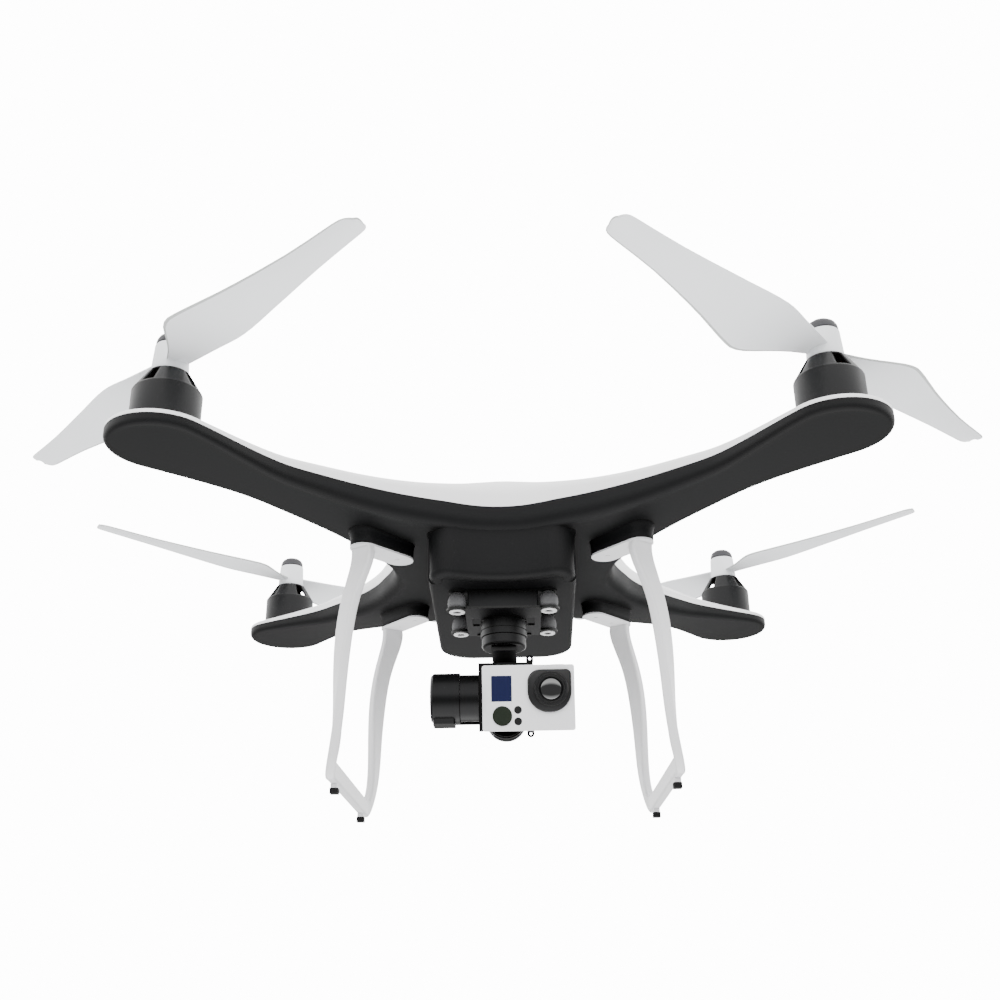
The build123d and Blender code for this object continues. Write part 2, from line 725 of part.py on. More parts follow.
with BuildPart() as gimbal_mount:
    with BuildSketch(Plane.XY.offset(mount_bottom_z)):
        with Locations((0, ball_middle_y)):
            Rectangle(2 * ball_x - 22, ball_spread - 4)
        with Locations((0, ball_front_y), (0, ball_rear_y)):
            Rectangle(2 * ball_x, 5)
        with Locations(*ball_places):
            Circle(ball_radius - 0.5)
            Circle(ball_neck_radius, mode=Mode.SUBTRACT)
    extrude(amount=mount_thickness)
gimbal_mount.part.label = "gimbal_mount"
export_step(gimbal_mount.part, "parts/gimbal_mount.step")

with BuildPart() as damper_balls:
    with BuildSketch(Plane.XY.offset(plate_top_z)):
        with Locations(*ball_places):
            Circle(ball_radius)
    extrude(amount=mount_bottom_z - plate_top_z)
    fillet(damper_balls.edges().filter_by(GeomType.CIRCLE), 3.0)
    with BuildSketch(Plane.XY.offset(plate_bottom_z - washer_thickness)):
        with Locations(*ball_places):
            Circle(ball_neck_radius)
    extrude(amount=belly_bottom_z - plate_bottom_z + washer_thickness)
damper_balls.part.label = "damper_balls"
export_step(damper_balls.part, "parts/damper_balls.step")

with BuildPart() as damper_washers:
    with BuildSketch(Plane.XY.offset(plate_bottom_z - washer_thickness)):
        with Locations(*ball_places):
            Circle(washer_radius)
            Circle(ball_neck_radius, mode=Mode.SUBTRACT)
    extrude(amount=washer_thickness)
damper_washers.part.label = "damper_washers"
export_step(damper_washers.part, "parts/damper_washers.step")

with BuildPart() as gimbal_plate:
    with BuildSketch(Plane.XY.offset(plate_bottom_z)):
        with Locations((0, ball_middle_y)):
            RectangleRounded(2 * ball_x - 10, ball_spread + 12, 2)
        with Locations(*ball_places):
            Circle(ball_radius + 1)
            Circle(ball_neck_radius, mode=Mode.SUBTRACT)
        # cable slots at both sides of the yaw motor
        with Locations((-plate_slot_x, gimbal_y), (plate_slot_x, gimbal_y)):
            RectangleRounded(5.0, 17.0, 1, mode=Mode.SUBTRACT)
        with Locations(*plate_screw_places):
            Circle(plate_screw_radius, mode=Mode.SUBTRACT)
    extrude(amount=plate_thickness)
gimbal_plate.part.label = "gimbal_plate"
export_step(gimbal_plate.part, "parts/gimbal_plate.step")

with BuildPart() as gimbal_screws:
    with BuildSketch(Plane.XY.offset(plate_bottom_z)):
        with Locations(*plate_screw_places):
            Circle(plate_screw_radius)
    extrude(amount=plate_thickness + 3)
    with BuildSketch(Plane.XY.offset(plate_bottom_z)):
        with Locations(*plate_screw_places):
            Circle(plate_screw_radius + 0.8)
    extrude(amount=-1.1)
gimbal_screws.part.label = "gimbal_screws"
export_step(gimbal_screws.part, "parts/gimbal_screws.step")

with BuildPart() as gimbal_controller:
    with BuildSketch(Plane.XY.offset(plate_top_z)):
        with Locations((0, ball_front_y + 1)):
            RectangleRounded(2 * (ball_x - ball_radius) - 2, 10, 1)
    extrude(amount=mount_bottom_z - plate_top_z)
gimbal_controller.part.label = "gimbal_controller"
export_step(gimbal_controller.part, "parts/gimbal_controller.step")

with BuildPart() as yaw_motor_housing:
    with BuildSketch(Plane.XY.offset(yaw_split_z)):
        with Locations((0, gimbal_y)):
            Circle(yaw_motor_radius)
    extrude(amount=plate_bottom_z - yaw_split_z)
    # stepped shadow line round the housing
    with BuildSketch(Plane.XY.offset(yaw_split_z + 4)):
        with Locations((0, gimbal_y)):
            Circle(yaw_motor_radius)
            Circle(yaw_motor_radius - 0.5, mode=Mode.SUBTRACT)
    extrude(amount=0.6, mode=Mode.SUBTRACT)
yaw_motor_housing.part.label = "yaw_motor_housing"
export_step(yaw_motor_housing.part, "parts/yaw_motor_housing.step")

# ================================================================ gimbal, turning pieces
roll_x, roll_z = roll_axis
tilt_y, tilt_z = tilt_axis
roll_plate_front_y = roll_motor_front_y - arm_sheet
roll_split_y = roll_motor_front_y + roll_motor_depth / 2
roll_back_y = roll_motor_front_y + roll_motor_depth
yaw_plate_back_y = roll_back_y + arm_sheet

with BuildPart() as yaw_arm:
    with BuildSketch(Plane.XY.offset(yaw_rotor_bottom_z)):
        with Locations((0, gimbal_y)):
            Circle(yaw_rotor_radius)
    extrude(amount=yaw_split_z - turn_gap - yaw_rotor_bottom_z)
    fillet(yaw_arm.faces().sort_by(Axis.Z)[0].edges(), 2.0)
    with BuildSketch(Plane.XY.offset(yaw_rotor_bottom_z + 0.5)):
        with Locations((0, (gimbal_y - yaw_arm_width / 2 + yaw_plate_back_y) / 2)):
            Rectangle(yaw_arm_width, yaw_plate_back_y - gimbal_y + yaw_arm_width / 2)
    extrude(amount=-arm_sheet - 0.5)
    with BuildSketch(Plane.XZ.offset(-yaw_plate_back_y)):
        with Locations((roll_x, roll_z)):
            Circle(yaw_arm_width / 2 + 2)
        with Locations((0, (roll_z + yaw_rotor_bottom_z - arm_sheet + 1) / 2)):
            Rectangle(yaw_arm_width, yaw_rotor_bottom_z - arm_sheet + 1 - roll_z)
    extrude(amount=arm_sheet)
yaw_arm.part.label = "yaw_arm"
export_step(yaw_arm.part, "parts/yaw_arm.step")

with BuildPart() as roll_motor_housing:
    with BuildSketch(Plane.XZ.offset(-roll_back_y)):
        with Locations((roll_x, roll_z)):
            Circle(roll_motor_radius)
    extrude(amount=roll_back_y - roll_split_y)
roll_motor_housing.part.label = "roll_motor_housing"
export_step(roll_motor_housing.part, "parts/roll_motor_housing.step")

with BuildPart() as roll_motor_rotor:
    with BuildSketch(Plane.XZ.offset(-roll_split_y + turn_gap)):
        with Locations((roll_x, roll_z)):
            Circle(roll_motor_radius - 0.3)
    extrude(amount=roll_split_y - turn_gap - roll_motor_front_y)
roll_motor_rotor.part.label = "roll_motor_rotor"
export_step(roll_motor_rotor.part, "parts/roll_motor_rotor.step")

with BuildPart() as roll_arm:
    with BuildSketch(Plane.XZ.offset(-roll_motor_front_y)):
        with Locations((roll_x, roll_z)):
            Circle(roll_motor_radius - 1)
        with Locations(((roll_x + tilt_can_end_x + 1) / 2, (roll_z + tilt_z) / 2)):
            Rectangle(roll_x - tilt_can_end_x - 1, roll_arm_width)
    extrude(amount=arm_sheet)
    # tongue that reaches forward to the back of the tilt motor's can
    with BuildSketch(Plane.XZ.offset(-roll_plate_front_y)):
        with Locations(((tilt_can_end_x + 1 + tilt_split_x - 2) / 2, (roll_z + tilt_z) / 2)):
            Rectangle(tilt_split_x - 2 - tilt_can_end_x - 1, roll_arm_width)
    extrude(amount=roll_plate_front_y - tilt_y)
    with BuildSketch(Plane.YZ.offset(tilt_can_end_x - 5)):
        with Locations((tilt_y, tilt_z)):
            Circle(tilt_can_radius)
    extrude(amount=tilt_can_radius * 2, mode=Mode.SUBTRACT)
roll_arm.part.label = "roll_arm"
export_step(roll_arm.part, "parts/roll_arm.step")

with BuildPart() as tilt_motor_housing:
    with BuildSketch(Plane.YZ.offset(tilt_can_end_x)):
        with Locations((tilt_y, tilt_z)):
            Circle(tilt_can_radius)
    extrude(amount=tilt_split_x - tilt_can_end_x)
    chamfer(tilt_motor_housing.faces().sort_by(Axis.X)[0].edges(), 1.6)
    # cable boss under the can
    with BuildSketch(Plane.XY.offset(tilt_z - tilt_can_radius - 1.8)):
        with Locations(((tilt_can_end_x + 1.5 + tilt_split_x - 3) / 2, tilt_y)):
            RectangleRounded(tilt_split_x - 3 - tilt_can_end_x - 1.5, 14, 2)
    extrude(amount=tilt_can_radius)
tilt_motor_housing.part.label = "tilt_motor_housing"
export_step(tilt_motor_housing.part, "parts/tilt_motor_housing.step")

# ================================================================ camera
pitch = radians(camera_pitch)
camera_plane = Plane(origin=camera_centre, x_dir=(1, 0, 0), z_dir=(0, -cos(pitch), -sin(pitch)))


def lens_outline():
    # Outline of the lens block on the camera's face: round below, squarer above.
    with BuildSketch() as block:
        with Locations(lens_centre):
            Rectangle(lens_block_width, lens_block_height)
        fillet(block.vertices().group_by(Axis.Y)[0], lens_block_lower_corner)
        fillet(block.vertices().group_by(Axis.Y)[-1].sort_by(Axis.X)[0], lens_block_left_corner)
        fillet(block.vertices().group_by(Axis.Y)[-1].sort_by(Axis.X)[-1], lens_block_right_corner)
    return block.sketch


def shutter_plane(height):
    # Plane across the top of the camera, at this height above its centre line.
    place = camera_plane.from_local_coords((shutter_place[0], height, shutter_place[1]))
    return Plane(origin=place, x_dir=(1, 0, 0), z_dir=camera_plane.y_dir)


half_w = camera_width / 2
half_h = camera_height / 2
tray_left = -half_w - tray_side
tray_outer_x = camera_centre[0] + tray_left

with BuildPart() as tilt_motor_rotor:
    with BuildSketch(Plane.YZ.offset(tilt_split_x + turn_gap)):
        with Locations((tilt_y, tilt_z)):
            Circle(tilt_rotor_radius)
    extrude(amount=tray_outer_x - tilt_split_x - turn_gap)
tilt_motor_rotor.part.label = "tilt_motor_rotor"
export_step(tilt_motor_rotor.part, "parts/tilt_motor_rotor.step")

with BuildPart() as camera_tray:
    # back wall, side wall and top lip of a folded sheet
    with BuildSketch(camera_plane.offset(-camera_depth)):
        with Locations(((tray_left + tray_lip_x) / 2, tray_wall / 2)):
            Rectangle(tray_lip_x - tray_left, camera_height + tray_wall)
        with Locations((eyelet_x, -half_h - eyelet_reach)):
            Circle(eyelet_radius)
        with Locations((eyelet_x, -half_h - eyelet_reach / 2)):
            Rectangle(2 * eyelet_radius, eyelet_reach)
    extrude(amount=-tray_wall)
    with BuildSketch(camera_plane.offset(-camera_depth)):
        with Locations((tray_left + tray_side / 2, tray_wall / 2)):
            Rectangle(tray_side, camera_height + tray_wall)
        with Locations(((tray_left + tray_lip_x) / 2, half_h + tray_wall / 2)):
            Rectangle(tray_lip_x - tray_left, tray_wall)
    extrude(amount=camera_depth - 1.0)
    with BuildSketch(camera_plane.offset(-4.0)):
        with Locations((eyelet_x, half_h + tray_wall + eyelet_radius)):
            Circle(eyelet_radius)
        with Locations((eyelet_x, half_h + tray_wall + eyelet_radius / 2)):
            Rectangle(2 * eyelet_radius, eyelet_radius)
    extrude(amount=2.0)
    with BuildSketch(camera_plane.offset(-camera_depth - tray_wall)):
        with Locations((eyelet_x, half_h + tray_wall + eyelet_radius), (eyelet_x, -half_h - eyelet_reach)):
            Circle(eyelet_bore)
    extrude(amount=camera_depth + tray_wall, mode=Mode.SUBTRACT)
camera_tray.part.label = "camera_tray"
export_step(camera_tray.part, "parts/camera_tray.step")

with BuildPart() as camera_faceplate:
    with BuildSketch(camera_plane.offset(-faceplate_thickness)):
        RectangleRounded(camera_width, camera_height, face_corner)
        add(lens_outline(), mode=Mode.SUBTRACT)
        with Locations(mode_button_place):
            Circle(mode_button_radius + button_gap, mode=Mode.SUBTRACT)
        with Locations(*light_places):
            Circle(light_radius, mode=Mode.SUBTRACT)
        with Locations(screen_place):
            Rectangle(*screen_size, mode=Mode.SUBTRACT)
    extrude(amount=faceplate_thickness)
camera_faceplate.part.label = "camera_faceplate"
export_step(camera_faceplate.part, "parts/camera_faceplate.step")

with BuildPart() as camera_body:
    with BuildSketch(camera_plane.offset(-camera_depth)):
        RectangleRounded(camera_width, camera_height, face_corner)
    extrude(amount=camera_depth - faceplate_thickness)
    with BuildSketch(camera_plane.offset(-camera_depth + camera_wall)):
        Rectangle(camera_width - 2 * camera_wall, camera_height - 2 * camera_wall)
    extrude(amount=camera_depth, mode=Mode.SUBTRACT)
    with BuildSketch(shutter_plane(half_h)):
        Circle(shutter_radius + button_gap)
    extrude(amount=-camera_wall, mode=Mode.SUBTRACT)
camera_body.part.label = "camera_body"
export_step(camera_body.part, "parts/camera_body.step")

with BuildPart() as lens_housing:
    with BuildSketch(camera_plane.offset(-camera_depth + camera_wall)):
        add(lens_outline())
    extrude(amount=camera_depth - camera_wall + lens_block_proud)
    with BuildSketch(camera_plane.offset(lens_block_proud)):
        with Locations(lens_ring_centre):
            Circle(lens_ring_radius)
    extrude(amount=lens_ring_proud)
    with BuildSketch(camera_plane.offset(lens_block_proud + lens_ring_proud)):
        with Locations(lens_ring_centre):
            Circle(lens_glass_radius)
    extrude(amount=-lens_glass_depth, mode=Mode.SUBTRACT)
lens_housing.part.label = "lens_housing"
export_step(lens_housing.part, "parts/lens_housing.step")

with BuildPart() as lens_glass:
    with BuildSketch(camera_plane.offset(lens_block_proud + lens_ring_proud - lens_glass_depth)):
        with Locations(lens_ring_centre):
            Circle(lens_glass_radius)
    extrude(amount=lens_glass_depth - 0.6)
lens_glass.part.label = "lens_glass"
export_step(lens_glass.part, "parts/lens_glass.step")

with BuildPart() as camera_screen:
    with BuildSketch(camera_plane.offset(-faceplate_thickness)):
        with Locations(screen_place):
            Rectangle(*screen_size)
    extrude(amount=faceplate_thickness - 0.15)
camera_screen.part.label = "camera_screen"
export_step(camera_screen.part, "parts/camera_screen.step")

with BuildPart() as status_lights:
    with BuildSketch(camera_plane.offset(-faceplate_thickness)):
        with Locations(*light_places):
            Circle(light_radius)
    extrude(amount=faceplate_thickness)
status_lights.part.label = "status_lights"
export_step(status_lights.part, "parts/status_lights.step")

with BuildPart() as mode_button:
    with BuildSketch(camera_plane.offset(mode_button_proud)):
        with Locations(mode_button_place):
            Circle(mode_button_radius)
    extrude(amount=-faceplate_thickness - mode_button_proud)
mode_button.part.label = "mode_button"
export_step(mode_button.part, "parts/mode_button.step")

with BuildPart() as shutter_button:
    with BuildSketch(shutter_plane(half_h + shutter_proud)):
        Circle(shutter_radius)
    extrude(amount=-camera_wall - shutter_proud)
shutter_button.part.label = "shutter_button"
export_step(shutter_button.part, "parts/shutter_button.step")
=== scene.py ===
import bpy, bmesh, json, math
from mathutils import Matrix, Vector


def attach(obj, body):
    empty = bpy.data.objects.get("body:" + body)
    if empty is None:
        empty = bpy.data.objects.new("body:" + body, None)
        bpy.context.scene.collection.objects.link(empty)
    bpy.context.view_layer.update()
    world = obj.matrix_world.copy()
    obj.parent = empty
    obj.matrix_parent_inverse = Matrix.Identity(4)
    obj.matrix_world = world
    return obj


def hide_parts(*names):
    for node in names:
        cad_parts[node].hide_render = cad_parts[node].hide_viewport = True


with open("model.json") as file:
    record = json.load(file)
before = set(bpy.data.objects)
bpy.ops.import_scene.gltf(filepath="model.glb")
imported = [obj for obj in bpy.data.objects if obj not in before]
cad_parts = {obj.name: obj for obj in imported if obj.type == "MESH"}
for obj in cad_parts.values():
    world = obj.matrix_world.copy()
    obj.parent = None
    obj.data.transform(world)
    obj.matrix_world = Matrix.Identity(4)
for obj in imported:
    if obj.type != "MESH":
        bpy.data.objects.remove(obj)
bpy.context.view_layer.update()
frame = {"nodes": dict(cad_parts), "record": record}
print("frame loaded:", len(frame["nodes"]), "parts")

mm = 0.001
weld = 2e-6      # metres, points closer than this become one
corners = {"front_right": (-1, -1), "front_left": (1, -1), "rear_right": (-1, 1), "rear_left": (1, 1)}


# helpers that every piece uses

def hexColour(code):
    # sRGB hex to linear RGBA
    parts = [int(code[i:i + 2], 16) / 255 for i in (1, 3, 5)]
    return [p / 12.92 if p <= 0.04045 else ((p + 0.055) / 1.055) ** 2.4 for p in parts] + [1.0]


def addNode(tree, kind, settings=None, links=None):
    # settings: socket name or number -> value, or attribute -> value; links: input -> output socket
    node = tree.nodes.new(kind)
    for key, value in (settings or {}).items():
        if isinstance(key, int) or key in node.inputs:
            node.inputs[key].default_value = value
        else:
            setattr(node, key, value)
    for key, source in (links or {}).items():
        tree.links.new(source, node.inputs[key])
    return node


def lerp(a, b, t):
    # value a share t of the way from a to b
    return a + (b - a) * t


def meshPiece(name, verts, faces, material, body, slot, hides, sharp=40, second=()):
    # verts in millimetres in the craft's own frame, second: faces that take the second material,
    # sharp: edges that turn further than this many degrees stay crisp
    data = bpy.data.meshes.new(name)
    data.from_pydata([Vector(v) * mm for v in verts], [], faces)
    for k in second:
        data.polygons[k].material_index = 1
    tidy = bmesh.new()
    tidy.from_mesh(data)
    bmesh.ops.remove_doubles(tidy, verts=tidy.verts, dist=weld)
    bmesh.ops.recalc_face_normals(tidy, faces=tidy.faces)
    tidy.to_mesh(data)
    tidy.free()
    piece = bpy.data.objects.new(name, data)
    bpy.context.scene.collection.objects.link(piece)
    for m in material if isinstance(material, list) else [material]:
        data.materials.append(m)
    data.shade_smooth()
    data.set_sharp_from_angle(angle=math.radians(sharp))
    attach(piece, body)
    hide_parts(*hides)
    return piece


def turned(profile, place, steps=64):
    # profile: (radius, height) pairs up the axis, place: the point where height is 0
    verts, faces = [], []
    px, py, pz = place
    for radius, height in profile:
        for k in range(steps):
            a = 2 * math.pi * k / steps
            verts.append((px + radius * math.cos(a), py + radius * math.sin(a), pz + height))
    for ring in range(len(profile) - 1):
        for k in range(steps):
            a, b = ring * steps + k, ring * steps + (k + 1) % steps
            faces.append((a, b, b + steps, a + steps))
    return verts, faces


def grid(rows):
    # skin over rows of points, all of one length
    width = len(rows[0])
    verts = [v for row in rows for v in row]
    faces = []
    for i in range(len(rows) - 1):
        for j in range(width - 1):
            a = i * width + j
            faces.append((a, a + 1, a + width + 1, a + width))
    return verts, faces


def placed(verts, matrix):
    # points moved into the craft's frame
    return [tuple(matrix @ Vector(v)) for v in verts]


def joined(*meshes):
    # several meshes as one
    verts, faces = [], []
    for v, f in meshes:
        start = len(verts)
        verts += v
        faces += [tuple(i + start for i in face) for face in f]
    return verts, faces


# camera, light and floor

view = {
    "place": (9.94, -791.36, -117.22),   # mm, below and in front of the craft
    "pan": -0.858, "tilt": 23.155, "roll": -0.802,   # degrees
    "lens": 41.97, "sensor": 36.0,
}
studio = {
    "backdrop": 14.0,                    # how bright the paper behind the craft looks
    "zenith": 3.0, "horizon": 4.2, "below": 0.4, "nadir": 5.2,   # light by direction
    "floor": "#fbfbfb", "floorDrop": 1.6, "floorSize": 80.0,      # metres
}


def placeCamera():
    # the eye below and in front, aimed by pan and tilt and then rolled
    pan, tilt, roll = (math.radians(view[k]) for k in ("pan", "tilt", "roll"))
    ahead = Vector((math.sin(pan) * math.cos(tilt), math.cos(pan) * math.cos(tilt), math.sin(tilt)))
    level = Vector((math.cos(pan), -math.sin(pan), 0))
    above = level.cross(ahead)
    right = level * math.cos(roll) + above * math.sin(roll)
    up = above * math.cos(roll) - level * math.sin(roll)
    data = bpy.data.cameras.new("camera")
    data.lens, data.sensor_width = view["lens"], view["sensor"]
    data.clip_start, data.clip_end = 0.01, 50
    camera = bpy.data.objects.new("camera", data)
    camera.matrix_world = Matrix((right, up, -ahead)).transposed().to_4x4()
    camera.location = Vector(view["place"]) * mm
    bpy.context.scene.collection.objects.link(camera)
    bpy.context.scene.camera = camera


def lightStudio():
    # a bright tent: even from above and around, dim just below level, with a white sheet underneath
    world = bpy.data.worlds.new("studio")
    bpy.context.scene.world = world
    world.use_nodes = True
    tree = world.node_tree
    tree.nodes.clear()
    where = addNode(tree, "ShaderNodeTexCoord")
    height = addNode(tree, "ShaderNodeSeparateXYZ", links={0: where.outputs["Generated"]})
    share = addNode(tree, "ShaderNodeMapRange", {"From Min": -1.0, "From Max": 1.0},
                    {0: height.outputs["Z"]})
    ramp = addNode(tree, "ShaderNodeValToRGB", links={0: share.outputs[0]})
    stops = [(0.0, "nadir"), (0.09, "nadir"), (0.26, "below"), (0.46, "below"), (0.54, "horizon"),
             (0.85, "zenith")]
    brightest = max(studio[k] for _, k in stops)
    while len(ramp.color_ramp.elements) < len(stops):
        ramp.color_ramp.elements.new(0.5)
    for element, (position, key) in zip(ramp.color_ramp.elements, stops):
        element.position = position
        element.color = [studio[key] / brightest] * 3 + [1]
    light = addNode(tree, "ShaderNodeBackground", {"Strength": brightest},
                    {"Color": ramp.outputs["Color"]})
    paper = addNode(tree, "ShaderNodeBackground", {"Strength": studio["backdrop"]})
    paper.inputs["Color"].default_value = (1, 1, 1, 1)
    seen = addNode(tree, "ShaderNodeLightPath")
    mix = addNode(tree, "ShaderNodeMixShader", links={0: seen.outputs["Is Camera Ray"],
                                                      1: light.outputs[0], 2: paper.outputs[0]})
    addNode(tree, "ShaderNodeOutputWorld", links={0: mix.outputs[0]})


def layFloor():
    # white paper far below, out of the reflections
    half, low = studio["floorSize"] / 2, -studio["floorDrop"]
    data = bpy.data.meshes.new("floor")
    data.from_pydata([(-half, -half, low), (half, -half, low), (half, half, low), (-half, half, low)],
                     [], [(0, 1, 2, 3)])
    floor = bpy.data.objects.new("floor", data)
    bpy.context.scene.collection.objects.link(floor)
    paint = bpy.data.materials.new("floorPaper")
    paint.use_nodes = True
    shader = paint.node_tree.nodes["Principled BSDF"]
    shader.inputs["Base Color"].default_value = hexColour(studio["floor"])
    shader.inputs["Roughness"].default_value = 0.9
    data.materials.append(paint)
    floor.visible_diffuse = False
    floor.visible_glossy = False


placeCamera()
lightStudio()
layFloor()
print("camera, light and floor ready")


# materials

def startMaterial(name, settings):
    # a fresh material with its principled shader, the values set on the shader's own sockets
    made = bpy.data.materials.new(name)
    made.use_nodes = True
    tree = made.node_tree
    tree.nodes.clear()
    shader = addNode(tree, "ShaderNodeBsdfPrincipled", settings)
    addNode(tree, "ShaderNodeOutputMaterial", links={"Surface": shader.outputs[0]})
    place = addNode(tree, "ShaderNodeTexCoord")
    return made, tree, shader, place.outputs["Object"]


def mouldedPlastic(name, colour, shade, rough, roughSpread, grain, grainDepth, settings):
    # moulded plastic: an even colour with faint flow marks, and the mould's grain as bump; the real
    # grain is about a tenth of a millimetre and is drawn coarser, so that it shows from this far
    made, tree, shader, place = startMaterial(name, {"IOR": 1.53, **settings})
    flow = addNode(tree, "ShaderNodeTexNoise", {"Scale": 14.0, "Detail": 4.0, "Roughness": 0.6},
                   {"Vector": place})
    tone = addNode(tree, "ShaderNodeMix", {"data_type": "RGBA"}, {0: flow.outputs["Fac"]})
    tone.inputs[6].default_value, tone.inputs[7].default_value = hexColour(shade), hexColour(colour)
    tree.links.new(tone.outputs[2], shader.inputs["Base Color"])
    sparks = addNode(tree, "ShaderNodeTexNoise", {"Scale": 1000 / grain, "Detail": 2.0},
                     {"Vector": place})
    polish = addNode(tree, "ShaderNodeMapRange",
                     {"To Min": rough - roughSpread, "To Max": rough + roughSpread},
                     {0: flow.outputs["Fac"]})
    tree.links.new(polish.outputs[0], shader.inputs["Roughness"])
    bump = addNode(tree, "ShaderNodeBump", {"Strength": 0.35, "Distance": grainDepth * mm},
                   {"Height": sparks.outputs["Fac"]})
    tree.links.new(bump.outputs[0], shader.inputs["Normal"])
    return made


def anodisedAluminium(name, colour, rough, grain, stretch=(1, 1, 1), shine=0.85):
    # machined then anodised: a dyed metal skin with fine tool marks that blur the light one way; the
    # marks are drawn coarser than real
    made, tree, shader, place = startMaterial(name, {"Metallic": shine})
    lay = addNode(tree, "ShaderNodeMapping", {"Scale": stretch}, {"Vector": place})
    marks = addNode(tree, "ShaderNodeTexNoise", {"Scale": 1000 / grain, "Detail": 3.0},
                    {"Vector": lay.outputs[0]})
    tone = addNode(tree, "ShaderNodeMix", {"data_type": "RGBA"}, {0: marks.outputs["Fac"]})
    pale = [min(1, c * 1.25) for c in hexColour(colour)[:3]] + [1]
    tone.inputs[6].default_value, tone.inputs[7].default_value = hexColour(colour), pale
    tree.links.new(tone.outputs[2], shader.inputs["Base Color"])
    polish = addNode(tree, "ShaderNodeMapRange", {"To Min": rough - 0.06, "To Max": rough + 0.08},
                     {0: marks.outputs["Fac"]})
    tree.links.new(polish.outputs[0], shader.inputs["Roughness"])
    bump = addNode(tree, "ShaderNodeBump", {"Strength": 0.2, "Distance": 0.02 * mm},
                   {"Height": marks.outputs["Fac"]})
    tree.links.new(bump.outputs[0], shader.inputs["Normal"])
    return made


# matt black ABS of the lower shell, moulded on a spark-eroded tool: soft grey sheen, fine even grain
blackAbs = mouldedPlastic("sparkErodedBlackAbs", "#101011", "#0d0d0e", 0.55, 0.05, 0.8, 0.05,
                          {"Specular IOR Level": 0.11})
# the nose and belly, moulded in the same ABS from a rougher tool, so darker
bellyAbs = mouldedPlastic("roughBlackAbs", "#0f0f10", "#0c0c0d", 0.58, 0.05, 0.8, 0.06,
                          {"Specular IOR Level": 0.12})
# polished white ABS of the upper shell: clean and glossy, with a slight ripple in its shine
whiteAbs = mouldedPlastic("polishedWhiteAbs", "#f6f6f6", "#f1f1f2", 0.22, 0.03, 6.0, 0.02,
                          {"Specular IOR Level": 0.5, "Coat Weight": 0.15, "Coat Roughness": 0.08})
# satin white nylon of the legs: even and soft, a little less bright than the shell
whiteNylon = mouldedPlastic("satinWhiteNylon", "#dfdfe0", "#d9d9db", 0.42, 0.04, 0.9, 0.03,
                            {"Specular IOR Level": 0.35})
# glass-filled nylon of the propellers: pale, slightly cool, with an even satin shine
bladeNylon = mouldedPlastic("paleBladeNylon", "#e6e8ea", "#dfe1e3", 0.38, 0.04, 0.8, 0.03,
                            {"Specular IOR Level": 0.35})
# darker grey for a blade's thin trailing rim and its end faces: painted shade for the thin edge turned
# away from the light
bladeEdgeShadeNylon = mouldedPlastic("bladeEdgeShadeNylon", "#b4b7b6", "#a9acab", 0.5, 0.04, 0.8, 0.03,
                               {"Specular IOR Level": 0.3})
# black silicone of the feet, dull
blackRubber = mouldedPlastic("blackSilicone", "#0f0f10", "#0b0b0c", 0.8, 0.06, 0.5, 0.08,
                             {"Specular IOR Level": 0.2})
# grey silicone of the damper balls, dull with a dusty bloom
greyRubber = mouldedPlastic("greySilicone", "#5f5f60", "#565658", 0.62, 0.08, 0.5, 0.08,
                            {"Specular IOR Level": 0.3})
# white nylon washers
whiteWasher = mouldedPlastic("whiteNylonWasher", "#e6e6e6", "#dcdcdc", 0.45, 0.05, 0.5, 0.03,
                             {"Specular IOR Level": 0.4})
# dark anodised aluminium of the motors and the gimbal, turned finish
blackAnodised = anodisedAluminium("blackAnodisedAluminium", "#0e0e0f", 0.5, 0.6, (1, 1, 5), 0.5)
# stove-enamelled black of the motor bells, matt and even
bellEnamel = mouldedPlastic("mattBlackEnamel", "#111112", "#0d0d0e", 0.42, 0.05, 0.5, 0.03,
                            {"Specular IOR Level": 0.16})
# the gimbal's motors and arms, black anodised, their colour darkened further as painted shade for the
# contact shadow under the belly
blackWithPaintedShadeAnodised = anodisedAluminium("blackAnodisedAluminiumWithPaintedShade", "#040405", 0.36, 0.5, (1, 1, 5), 0.7)
greyAnodised = anodisedAluminium("darkGreyAnodisedAluminium", "#3c3c3e", 0.4, 0.6)
# smoked polycarbonate over the status lights and controllers: dark, a little shiny
smokedPlastic = mouldedPlastic("smokedPlastic", "#171718", "#121213", 0.3, 0.04, 0.5, 0.02,
                               {"Specular IOR Level": 0.3})
# the display window of the camera: deep blue, smooth
displayBlue = mouldedPlastic("blueDisplayWindow", "#171c40", "#151a3a", 0.24, 0.03, 4.0, 0.01,
                             {"Specular IOR Level": 0.2})
# the camera's two keys, moulded in coloured plastic: satin, so they read apart from the metal face
keyGreen = mouldedPlastic("darkGreenKeyPlastic", "#151e11", "#121a0f", 0.45, 0.04, 0.5, 0.03,
                          {"Specular IOR Level": 0.2})
keyRed = mouldedPlastic("darkRedKeyPlastic", "#5a1414", "#4a1010", 0.45, 0.04, 0.5, 0.03,
                        {"Specular IOR Level": 0.3})
# the camera's body and the block round its lens, moulded in black with a fine texture
cameraPlastic = mouldedPlastic("darkCameraPlastic", "#2a2a2c", "#242426", 0.5, 0.05, 0.5, 0.05,
                               {"Specular IOR Level": 0.3})
lensPlastic = mouldedPlastic("lensBlackPlastic", "#131314", "#0d0d0e", 0.42, 0.05, 0.5, 0.03,
                             {"Specular IOR Level": 0.25})
# solder mask of the main board: green lacquer over the copper
boardGreen = mouldedPlastic("solderMask", "#12502c", "#0d3f22", 0.35, 0.05, 1.2, 0.05,
                            {"Specular IOR Level": 0.5})
# blasted then clear anodised aluminium of the camera's face: soft silver, very fine sparkle
blastedSilver = anodisedAluminium("blastedSilverAluminium", "#e4e4e6", 0.5, 0.5, (1, 1, 1), 0.35)
# ground and plated steel of shafts, bearings and screws
groundSteel = anodisedAluminium("groundSteel", "#a9a9ad", 0.28, 0.5, (1, 1, 6))
